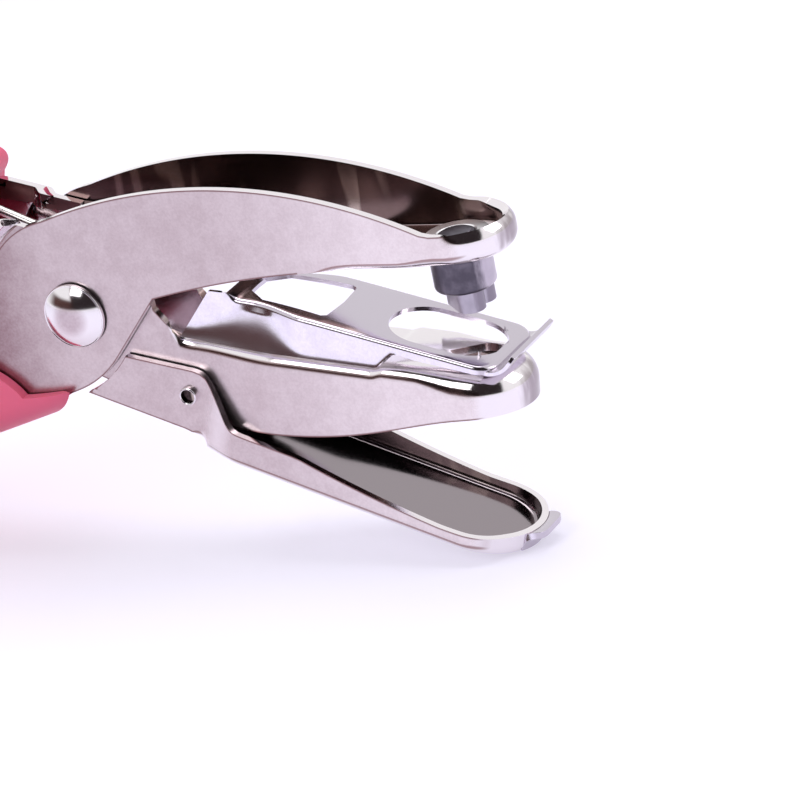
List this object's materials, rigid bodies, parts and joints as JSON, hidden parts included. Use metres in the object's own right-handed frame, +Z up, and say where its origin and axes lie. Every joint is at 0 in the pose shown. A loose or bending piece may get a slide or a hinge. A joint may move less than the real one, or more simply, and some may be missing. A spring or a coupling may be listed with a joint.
{
  "type": "hole punch",
  "caption": "Hand-held plier punch that cuts a heart-shaped hole, with sprung handles in soft grips, a paper stripper and a swing-down chip tray.",
  "frame": {"origin": "under the middle of the punch at rest, on the surface that the chip tray's nose and the lower grip's tail stand on", "axes": "+X towards the jaws, +Y along the pivot, +Z up"},
  "size_m": [0.1432, 0.0184, 0.0641],
  "materials": {
    "nickel_steel": "polished",
    "tool_steel": "satin",
    "spring_steel": "satin",
    "soft_vinyl": "satin"
  },
  "bodies": {
    "die_side": {"die_lever": "nickel_steel", "stripper_plate": "nickel_steel", "upper_grip": "soft_vinyl", "tray_pin": "nickel_steel", "pivot_rivet": "nickel_steel", "return_spring": "spring_steel"},
    "punch_side": {"punch_lever": "nickel_steel", "heart_punch": "tool_steel", "punch_washer": "nickel_steel", "lower_grip": "soft_vinyl"},
    "tray": {"chip_tray": "nickel_steel"}
  },
  "joints": [
    {"name": "squeeze", "type": "hinge", "parent": "die_side", "child": "punch_side", "pos_m": [0.00856, 0, 0.03579], "axis": [0, 1, 0], "range_deg": [0, 7.7], "stiffness_Nm_per_rad": 2, "springref_deg": -14.32, "deforming": ["return_spring"]},
    {"name": "tray_swing", "type": "hinge", "parent": "die_side", "child": "tray", "pos_m": [0.02306, 0, 0.02399], "axis": [0, -1, 0], "range_deg": [0, 21]}
  ]
}
